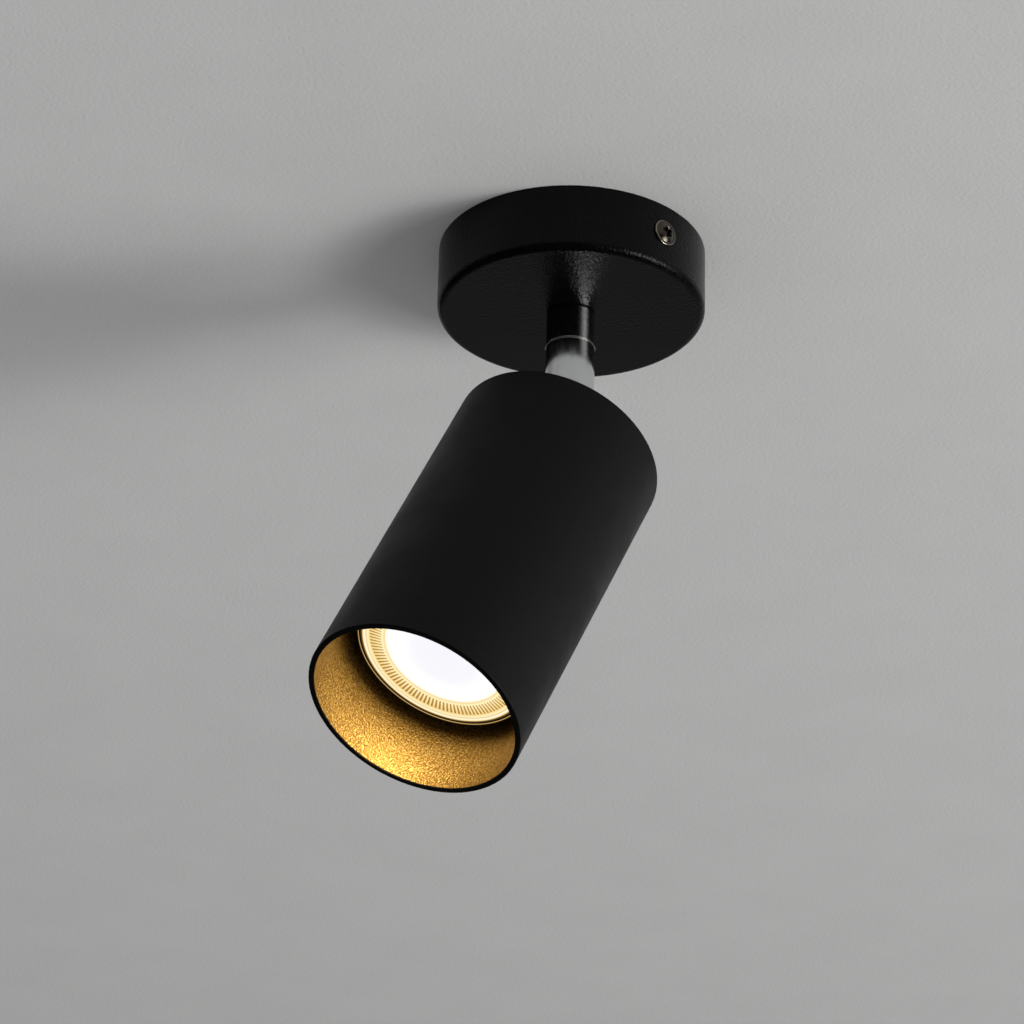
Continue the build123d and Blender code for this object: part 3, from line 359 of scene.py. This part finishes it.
def make_lamp_radius():
    """Distance from the lamp's axis, and the height over its face."""
    group, start, end = new_group("lamp_radius", {}, ("Radius", "Level"))
    mapping = group.nodes.new("ShaderNodeMapping")
    mapping.vector_type = "TEXTURE"
    mapping.inputs["Location"].default_value = lamp_face
    mapping.inputs["Rotation"].default_value = lamp_turn.to_euler("XYZ")
    group.links.new(object_place(group), mapping.inputs["Vector"])
    flat = group.nodes.new("ShaderNodeVectorMath")
    flat.operation = "MULTIPLY"
    flat.inputs[1].default_value = (1.0, 1.0, 0.0)
    group.links.new(mapping.outputs["Vector"], flat.inputs[0])
    length = group.nodes.new("ShaderNodeVectorMath")
    length.operation = "LENGTH"
    group.links.new(flat.outputs["Vector"], length.inputs[0])
    group.links.new(length.outputs["Value"], end.inputs["Radius"])
    split = group.nodes.new("ShaderNodeSeparateXYZ")
    group.links.new(mapping.outputs["Vector"], split.inputs["Vector"])
    group.links.new(split.outputs["Z"], end.inputs["Level"])
    return group


coat_grain = make_coat_grain()
plate_mottle = make_plate_mottle()
wipe_marks = make_wipe_marks()
moulded_skin = make_moulded_skin()
lamp_radius = make_lamp_radius()


# Finishes

def new_material(name):
    material = bpy.data.materials.new(name)
    material.use_nodes = True
    tree = material.node_tree
    return material, tree, tree.nodes["Principled BSDF"]


def use_group(tree, group, **values):
    node = tree.nodes.new("ShaderNodeGroup")
    node.node_tree = group
    for label, value in values.items():
        node.inputs[label.replace("_", " ")].default_value = value
    return node.outputs


def tint(tree, shader, mask, first, second, socket="Base Color"):
    """A colour that goes from one to another with a mask."""
    mix = tree.nodes.new("ShaderNodeMix")
    mix.data_type = "RGBA"
    mix.inputs["A"].default_value = (*first, 1.0)
    mix.inputs["B"].default_value = (*second, 1.0)
    tree.links.new(mask, mix.inputs["Factor"])
    tree.links.new(mix.outputs["Result"], shader.inputs[socket])
    return mix.outputs["Result"]


def lay_over(tree, shader, colour, mask, over):
    """Another colour over a base colour, where a mask shows it."""
    mix = tree.nodes.new("ShaderNodeMix")
    mix.data_type = "RGBA"
    mix.inputs["B"].default_value = (*over, 1.0)
    tree.links.new(mask, mix.inputs["Factor"])
    tree.links.new(colour, mix.inputs["A"])
    tree.links.new(mix.outputs["Result"], shader.inputs["Base Color"])


def roughen(tree, shader, mask, low, high):
    tree.links.new(ranged(tree, mask, 0.0, 1.0, low, high), shader.inputs["Roughness"])


def raise_skin(tree, shader, height, depth, strength=1.0):
    bump = tree.nodes.new("ShaderNodeBump")
    bump.inputs["Strength"].default_value = strength
    bump.inputs["Distance"].default_value = depth
    tree.links.new(height, bump.inputs["Height"])
    tree.links.new(bump.outputs["Normal"], shader.inputs["Normal"])


def sprayed_coat(name, first, second, pit_shade, grain, depth, rough, specular, metallic=0.0):
    """A sprayed and baked coat with its pebbled skin and painted shade in its pits."""
    material, tree, shader = new_material(name)
    skin = use_group(tree, coat_grain, Grain_Size=grain)
    # Painted shade: a darker colour laid into the low pits of the grain
    lay_over(tree, shader, tint(tree, shader, skin["Tone"], first, second), skin["Pits"], pit_shade)
    roughen(tree, shader, skin["Tone"], *rough)
    raise_skin(tree, shader, skin["Height"], depth)
    shader.inputs["Specular IOR Level"].default_value = specular
    shader.inputs["Metallic"].default_value = metallic
    return material


def polished_metal(name, colour, dulled, rough, amount):
    """A mirror plate with faint wipe marks."""
    material, tree, shader = new_material(name)
    mark = use_group(tree, wipe_marks, Amount=amount)["Mark"]
    tint(tree, shader, mark, colour, dulled)
    roughen(tree, shader, mark, *rough)
    shader.inputs["Metallic"].default_value = 1.0
    return material


def plated_metal(name, first, second, blotch, rough, thread_pitch=None):
    """A plated or bare metal with blotches and drawn lines, and a thread where it is cut."""
    material, tree, shader = new_material(name)
    skin = use_group(tree, plate_mottle, Blotch_Size=blotch)
    tint(tree, shader, skin["Blotch"], first, second)
    roughen(tree, shader, skin["Lines"], *rough)
    shader.inputs["Metallic"].default_value = 1.0
    if thread_pitch:
        wave = tree.nodes.new("ShaderNodeTexWave")
        wave.bands_direction = "Z"
        wave.inputs["Scale"].default_value = math.pi / (10 * thread_pitch)
        tree.links.new(object_place(tree), wave.inputs["Vector"])
        raise_skin(tree, shader, wave.outputs["Fac"], THREAD_DEPTH)
    else:
        raise_skin(tree, shader, skin["Lines"], DRAWN_LINE_DEPTH)
    return material


def screw_with_painted_rim_highlight(name, first, second, wear_and_rim_highlight, rough):
    """Dark plated screws along X with a painted highlight on the round rims of their heads."""
    material = plated_metal(name, first, second, blotch=0.003, rough=rough)
    tree = material.node_tree
    shader = tree.nodes["Principled BSDF"]
    across = tree.nodes.new("ShaderNodeMapping")
    across.inputs["Location"].default_value = (0.0, 0.0, SCREW_DROP)
    across.inputs["Scale"].default_value = (0.0, 1.0, 1.0)
    tree.links.new(object_place(tree), across.inputs["Vector"])
    radius = tree.nodes.new("ShaderNodeVectorMath")
    radius.operation = "LENGTH"
    tree.links.new(across.outputs["Vector"], radius.inputs[0])
    # Painted highlight: a light colour laid over the round rim of each screw head
    rim = ranged(tree, radius.outputs["Value"], SCREW_RIM_START, SCREW_RIM_END, 0.0, 1.0)
    plate = shader.inputs["Base Color"].links[0].from_socket
    lay_over(tree, shader, plate, rim, wear_and_rim_highlight)
    return material


def moulded_body(name, first, second, texture, depth, rough, speck=None):
    """A moulded plastic or pressed ceramic body."""
    material, tree, shader = new_material(name)
    skin = use_group(tree, moulded_skin, Texture_Size=texture)
    colour = tint(tree, shader, skin["Cloud"], first, second)
    if speck:
        lay_over(tree, shader, colour, skin["Speck"], speck)
    roughen(tree, shader, skin["Cloud"], *rough)
    raise_skin(tree, shader, skin["Height"], depth)
    return material


def housing_with_painted_lens_light(name, first, second, edge):
    """A moulded lamp housing with a thin line of the lens's light painted as a glow along its rim."""
    material = moulded_body(name, first, second, texture=0.0004, depth=0.00003, rough=(0.45, 0.58))
    tree = material.node_tree
    shader = tree.nodes["Principled BSDF"]
    place = use_group(tree, lamp_radius)
    # Painted light: an emissive line at the rim's inner edge stands in for light from the lens falling there
    aside = maths(tree, "ABSOLUTE", maths(tree, "SUBTRACT", place["Radius"], RIM_INSIDE), 0.0)
    line = ranged(tree, aside, RIM_LINE_INNER, RIM_LINE_OUTER, 1.0, 0.0)
    front = ranged(tree, place["Level"], RIM_LINE_DEPTH, RIM_LINE_END, 0.0, 1.0)
    tint(tree, shader, maths(tree, "MULTIPLY", line, front), (0.0, 0.0, 0.0), edge, "Emission Color")
    shader.inputs["Emission Strength"].default_value = 1.0
    return material


def striped_insulation(name, first, second):
    """Two-colour lead insulation with one stripe each side."""
    material, tree, shader = new_material(name)
    split = tree.nodes.new("ShaderNodeSeparateXYZ")
    tree.links.new(object_place(tree), split.inputs["Vector"])
    side = ranged(tree, split.outputs["X"], -STRIPE_BLUR, STRIPE_BLUR, 0.0, 1.0)
    tint(tree, shader, side, first, second)
    skin = use_group(tree, moulded_skin, Texture_Size=0.0003)
    roughen(tree, shader, skin["Cloud"], 0.35, 0.5)
    raise_skin(tree, shader, skin["Height"], 0.00001)
    return material


def lit_rings(name, stops, strength, colour, rough):
    """A lit body whose glow changes with the distance from the lamp's axis, in metres."""
    material, tree, shader = new_material(name)
    radius = use_group(tree, lamp_radius)["Radius"]
    ramp = tree.nodes.new("ShaderNodeValToRGB")
    reach = stops[-1][0]
    elements = ramp.color_ramp.elements
    while len(elements) < len(stops):
        elements.new(1.0)
    for element, (distance, glow) in zip(elements, stops):
        element.position = distance / reach
        element.color = (*glow, 1.0)
    tree.links.new(ranged(tree, radius, 0.0, reach, 0.0, 1.0), ramp.inputs["Fac"])
    tree.links.new(ramp.outputs["Color"], shader.inputs["Emission Color"])
    shader.inputs["Emission Strength"].default_value = strength
    skin = use_group(tree, moulded_skin, Texture_Size=0.0004)
    tint(tree, shader, skin["Cloud"], colour, [0.94 * part for part in colour])
    roughen(tree, shader, skin["Cloud"], *rough)
    return material


def ceiling_paint():
    """Rolled matt paint, clear from above so that the canopy can be looked into."""
    material, tree, shader = new_material("ceiling_paint")
    skin = use_group(tree, coat_grain, Grain_Size=0.0011)
    tint(tree, shader, skin["Tone"], (0.78, 0.78, 0.78), (0.80, 0.80, 0.80))
    raise_skin(tree, shader, skin["Height"], 0.00008)
    shader.inputs["Roughness"].default_value = 0.9
    shader.inputs["Specular IOR Level"].default_value = 0.2
    clear = tree.nodes.new("ShaderNodeBsdfTransparent")
    side = tree.nodes.new("ShaderNodeNewGeometry")
    pick = tree.nodes.new("ShaderNodeMixShader")
    tree.links.new(side.outputs["Backfacing"], pick.inputs[0])
    tree.links.new(shader.outputs["BSDF"], pick.inputs[1])
    tree.links.new(clear.outputs["BSDF"], pick.inputs[2])
    tree.links.new(pick.outputs["Shader"], tree.nodes["Material Output"].inputs["Surface"])
    return material


LENS_GLOW = [
    (0.0000, (0.90, 0.90, 0.96)),
    (0.0090, (0.92, 0.92, 0.97)),
    (0.0125, (1.00, 1.00, 1.00)),
    (0.0166, (1.00, 0.99, 0.95)),
    (0.0171, (1.00, 0.88, 0.56)),
    (0.0173, (0.88, 0.60, 0.23)),
    (0.0175, (1.00, 0.84, 0.48)),
    (0.0180, (1.00, 0.85, 0.48)),
    (0.0182, (0.46, 0.26, 0.06)),
    (0.0213, (0.36, 0.19, 0.04)),
    (0.0216, (1.00, 0.80, 0.40)),
    (0.0221, (1.00, 0.88, 0.55)),
    (0.0223, (0.72, 0.46, 0.15)),
    (0.0226, (1.00, 0.92, 0.66)),
    (0.0230, (1.00, 0.93, 0.68)),
    (0.0233, (0.90, 0.60, 0.22)),
    (0.0235, (0.10, 0.05, 0.01)),
    (0.0240, (0.015, 0.008, 0.002)),
]
RIB_GLOW = [
    (0.0000, (1.00, 0.86, 0.50)),
    (0.0185, (1.00, 0.84, 0.46)),
    (0.0205, (0.94, 0.69, 0.27)),
    (0.0240, (0.80, 0.52, 0.18)),
]
BOARD_GLOW = [
    (0.0000, (1.00, 0.86, 0.55)),
    (0.0098, (1.00, 0.80, 0.45)),
    (0.0102, (0.10, 0.09, 0.08)),
    (0.0170, (0.04, 0.04, 0.04)),
]

finishes = {
    # The third colour of each sprayed coat is painted shade for the pits of its grain
    "canopy_black": sprayed_coat(
        "canopy_black", (0.0024, 0.0025, 0.0025), (0.0036, 0.0037, 0.0037), (0.0014, 0.0014, 0.0014),
        grain=0.0006, depth=0.00013, rough=(0.23, 0.29), specular=0.10
    ),
    "tube_black": sprayed_coat(
        "tube_black", (0.0022, 0.0022, 0.0022), (0.0032, 0.0031, 0.0031), (0.0018, 0.0018, 0.0018),
        grain=0.0003, depth=0.00002, rough=(0.44, 0.52), specular=0.14
    ),
    "textured_gold": sprayed_coat(
        "textured_gold", (0.66, 0.42, 0.115), (0.72, 0.47, 0.13), (0.36, 0.20, 0.04),
        grain=0.0005, depth=0.00014, rough=(0.36, 0.42), specular=0.5, metallic=0.8
    ),
    "chrome": polished_metal(
        "chrome", (0.66, 0.67, 0.68), (0.38, 0.38, 0.39), rough=(0.11, 0.25), amount=0.8
    ),
    "polished_ring": polished_metal(
        "polished_ring", (0.80, 0.77, 0.71), (0.60, 0.58, 0.53), rough=(0.26, 0.36), amount=0.5
    ),
    "dark_nickel": screw_with_painted_rim_highlight(
        "dark_nickel", (0.085, 0.075, 0.063), (0.055, 0.048, 0.040), (0.30, 0.27, 0.23), rough=(0.15, 0.27)
    ),
    "zinc_steel": plated_metal(
        "zinc_steel", (0.62, 0.63, 0.65), (0.64, 0.61, 0.53), blotch=0.005, rough=(0.28, 0.50)
    ),
    "zinc_thread": plated_metal(
        "zinc_thread", (0.62, 0.63, 0.65), (0.62, 0.59, 0.52),
        blotch=0.005, rough=(0.28, 0.46), thread_pitch=0.001
    ),
    "brass": plated_metal(
        "brass", (0.78, 0.58, 0.27), (0.60, 0.42, 0.19), blotch=0.003, rough=(0.24, 0.42)
    ),
    "holder_ceramic": moulded_body(
        "holder_ceramic", (0.86, 0.84, 0.79), (0.80, 0.77, 0.71),
        texture=0.0004, depth=0.00005, rough=(0.62, 0.78), speck=(0.50, 0.46, 0.40)
    ),
    "white_plastic": moulded_body(
        "white_plastic", (0.85, 0.85, 0.83), (0.81, 0.81, 0.78),
        texture=0.0003, depth=0.00002, rough=(0.38, 0.52)
    ),
    "lamp_housing": housing_with_painted_lens_light(
        "lamp_housing", (0.034, 0.033, 0.032), (0.028, 0.027, 0.026), edge=(0.60, 0.38, 0.13)
    ),
    "live_insulation": moulded_body(
        "live_insulation", (0.22, 0.10, 0.05), (0.18, 0.08, 0.04),
        texture=0.0003, depth=0.00001, rough=(0.34, 0.48)
    ),
    "neutral_insulation": moulded_body(
        "neutral_insulation", (0.04, 0.12, 0.42), (0.03, 0.10, 0.36),
        texture=0.0003, depth=0.00001, rough=(0.34, 0.48)
    ),
    "earth_insulation": striped_insulation("earth_insulation", (0.05, 0.30, 0.06), (0.72, 0.60, 0.03)),
    "lamp_lens": lit_rings(
        "lamp_lens", LENS_GLOW, strength=1.0, colour=(0.10, 0.10, 0.09), rough=(0.18, 0.30)
    ),
    "lens_ribs": lit_rings(
        "lens_ribs", RIB_GLOW, strength=1.0, colour=(0.10, 0.09, 0.08), rough=(0.20, 0.32)
    ),
    "led_board": lit_rings(
        "led_board", BOARD_GLOW, strength=0.6, colour=(0.88, 0.88, 0.86), rough=(0.40, 0.55)
    ),
}
THREADED_NODES = ("nipple",)


def dress_nodes():
    """Give every solid the finish of its slot."""
    for part in frame["record"]["subparts"]:
        finish = finishes[part["material_slot"]]
        if part["node"] in THREADED_NODES:
            finish = finishes["zinc_thread"]
        for socket in nodes[part["node"]].material_slots:
            socket.material = finish


# Lamp front

def add_piece(name, mesh, body):
    """A finished mesh as a piece that rides on a body."""
    piece = bpy.data.objects.new(name, mesh)
    bpy.context.scene.collection.objects.link(piece)
    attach(piece, body)
    return piece


def turned_mesh(name, profile, sides):
    """A closed body turned about Z from a half outline of radius and height."""
    shape = bmesh.new()
    points = [shape.verts.new((radius, 0.0, height)) for radius, height in profile]
    edges = [shape.edges.new(pair) for pair in zip(points, points[1:])]
    bmesh.ops.spin(
        shape, geom=points + edges, cent=(0, 0, 0), axis=(0, 0, 1),
        angle=2 * math.pi, steps=sides, use_merge=True
    )
    bmesh.ops.remove_doubles(shape, verts=shape.verts, dist=MERGE_DISTANCE)
    bmesh.ops.recalc_face_normals(shape, faces=shape.faces)
    for face in shape.faces:
        face.smooth = True
    mesh = bpy.data.meshes.new(name)
    shape.to_mesh(mesh)
    shape.free()
    mesh.set_sharp_from_angle(angle=SHARP_EDGE)
    return mesh


def lens_outline():
    """Half outline of the lens, from the middle of its back to the crown of its disc."""
    half_step = FLANGE_STEP_WIDTH / 2
    return [
        (0.0, LENS_BACK),
        (LENS_RADIUS, LENS_BACK),
        (LENS_RADIUS, -FLANGE_EDGE),
        (LENS_RADIUS - FLANGE_EDGE, 0.0),
        (FLANGE_STEP_RADIUS + half_step, 0.0),
        (FLANGE_STEP_RADIUS, FLANGE_STEP_DEPTH),
        (FLANGE_STEP_RADIUS - half_step, 0.0),
        (RIB_FLOOR_OUTER + FLANGE_EDGE, 0.0),
        (RIB_FLOOR_OUTER, RIB_FLOOR_DEPTH),
        (RIB_FLOOR_INNER, RIB_FLOOR_DEPTH),
        (BEAD_RADIUS, BEAD_DEPTH),
        (DISC_RADIUS, DISC_DEPTH),
        (DISC_RADIUS * DISC_SLOPE_SHARE, (DISC_DEPTH + DISC_CROWN) / 2),
        (DISC_RADIUS * DISC_FLAT_SHARE, DISC_CROWN),
        (0.0, DISC_CROWN),
    ]


def make_lens():
    mesh = turned_mesh("lens_front", lens_outline(), LENS_SIDES)
    mesh.transform(lamp_place)
    mesh.materials.append(finishes["lamp_lens"])
    lens = add_piece("lens_front", mesh, "lamp")
    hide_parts("lamp_lens")
    return lens


def rib_ring_tree():
    """Rounded radial ribs, evenly spaced on a circle."""
    tree = bpy.data.node_groups.new("rib_ring", "GeometryNodeTree")
    sockets = tree.interface
    sockets.new_socket("Geometry", in_out="INPUT", socket_type="NodeSocketGeometry")
    sockets.new_socket("Rib Count", in_out="INPUT", socket_type="NodeSocketInt")
    for label in ("Ring Radius", "Rib Length", "Rib Width", "Rib Height", "Rib Level"):
        sockets.new_socket(label, in_out="INPUT", socket_type="NodeSocketFloat")
    sockets.new_socket("Finish", in_out="INPUT", socket_type="NodeSocketMaterial")
    sockets.new_socket("Geometry", in_out="OUTPUT", socket_type="NodeSocketGeometry")
    start = tree.nodes.new("NodeGroupInput")
    end = tree.nodes.new("NodeGroupOutput")
    circle = tree.nodes.new("GeometryNodeMeshCircle")
    tree.links.new(start.outputs["Rib Count"], circle.inputs["Vertices"])
    tree.links.new(start.outputs["Ring Radius"], circle.inputs["Radius"])
    bar = tree.nodes.new("GeometryNodeMeshCylinder")
    bar.inputs["Vertices"].default_value = RIB_SIDES
    bar.inputs["Side Segments"].default_value = 1
    half_width = maths(tree, "MULTIPLY", start.outputs["Rib Width"], 0.5)
    tree.links.new(half_width, bar.inputs["Radius"])
    tree.links.new(start.outputs["Rib Length"], bar.inputs["Depth"])
    flatten = tree.nodes.new("ShaderNodeCombineXYZ")
    flatten.inputs["Y"].default_value = 1.0
    flatten.inputs["Z"].default_value = 1.0
    tree.links.new(maths(tree, "DIVIDE", start.outputs["Rib Height"], half_width), flatten.inputs["X"])
    lay = tree.nodes.new("GeometryNodeTransform")
    lay.inputs["Rotation"].default_value = (0.0, math.pi / 2, 0.0)
    tree.links.new(bar.outputs["Mesh"], lay.inputs["Geometry"])
    tree.links.new(flatten.outputs["Vector"], lay.inputs["Scale"])
    outward = tree.nodes.new("FunctionNodeAlignRotationToVector")
    outward.axis = "X"
    tree.links.new(tree.nodes.new("GeometryNodeInputPosition").outputs["Position"], outward.inputs["Vector"])
    spread = tree.nodes.new("GeometryNodeInstanceOnPoints")
    tree.links.new(circle.outputs["Mesh"], spread.inputs["Points"])
    tree.links.new(lay.outputs["Geometry"], spread.inputs["Instance"])
    tree.links.new(outward.outputs["Rotation"], spread.inputs["Rotation"])
    level = tree.nodes.new("ShaderNodeCombineXYZ")
    tree.links.new(start.outputs["Rib Level"], level.inputs["Z"])
    lift = tree.nodes.new("GeometryNodeTransform")
    tree.links.new(spread.outputs["Instances"], lift.inputs["Geometry"])
    tree.links.new(level.outputs["Vector"], lift.inputs["Translation"])
    real = tree.nodes.new("GeometryNodeRealizeInstances")
    tree.links.new(lift.outputs["Geometry"], real.inputs["Geometry"])
    dress = tree.nodes.new("GeometryNodeSetMaterial")
    tree.links.new(real.outputs["Geometry"], dress.inputs["Geometry"])
    tree.links.new(start.outputs["Finish"], dress.inputs["Material"])
    tree.links.new(dress.outputs["Geometry"], end.inputs["Geometry"])
    return tree


def grown_mesh(name, tree, values):
    """The plain mesh that a Geometry Nodes tree gives for named inputs."""
    holder = bpy.data.objects.new(name + "_source", bpy.data.meshes.new(name + "_source"))
    bpy.context.scene.collection.objects.link(holder)
    modifier = holder.modifiers.new("grow", "NODES")
    modifier.node_group = tree
    inputs = [socket for socket in tree.interface.items_tree if socket.in_out == "INPUT"]
    identifiers = {socket.name: socket.identifier for socket in inputs}
    for label, value in values.items():
        modifier[identifiers[label]] = value
    depsgraph = bpy.context.evaluated_depsgraph_get()
    mesh = bpy.data.meshes.new_from_object(holder.evaluated_get(depsgraph), depsgraph=depsgraph)
    mesh.name = name
    holder.modifiers.remove(modifier)
    bpy.data.objects.remove(holder)
    return mesh


def make_lens_ribs():
    values = {
        "Rib Count": RIB_COUNT,
        "Ring Radius": (RIB_FLOOR_OUTER + RIB_FLOOR_INNER) / 2,
        "Rib Length": RIB_FLOOR_OUTER - RIB_FLOOR_INNER,
        "Rib Width": RIB_WIDTH,
        "Rib Height": RIB_HEIGHT,
        "Rib Level": RIB_FLOOR_DEPTH,
        "Finish": finishes["lens_ribs"],
    }
    mesh = grown_mesh("lens_ribs", rib_ring_tree(), values)
    mesh.transform(lamp_place)
    return add_piece("lens_ribs", mesh, "lamp")


def hide_from_walls(*pieces):
    """Leave the lighting of the tube to the beam, which has the lamp's spread."""
    for piece in pieces:
        piece.visible_diffuse = False


bpy.context.scene.view_settings.view_transform = "Standard"
place_camera()
place_lights()
set_world()
hang_ceiling()
dress_nodes()
hide_from_walls(make_lens(), make_lens_ribs(), nodes["led_board"])
place_beam()
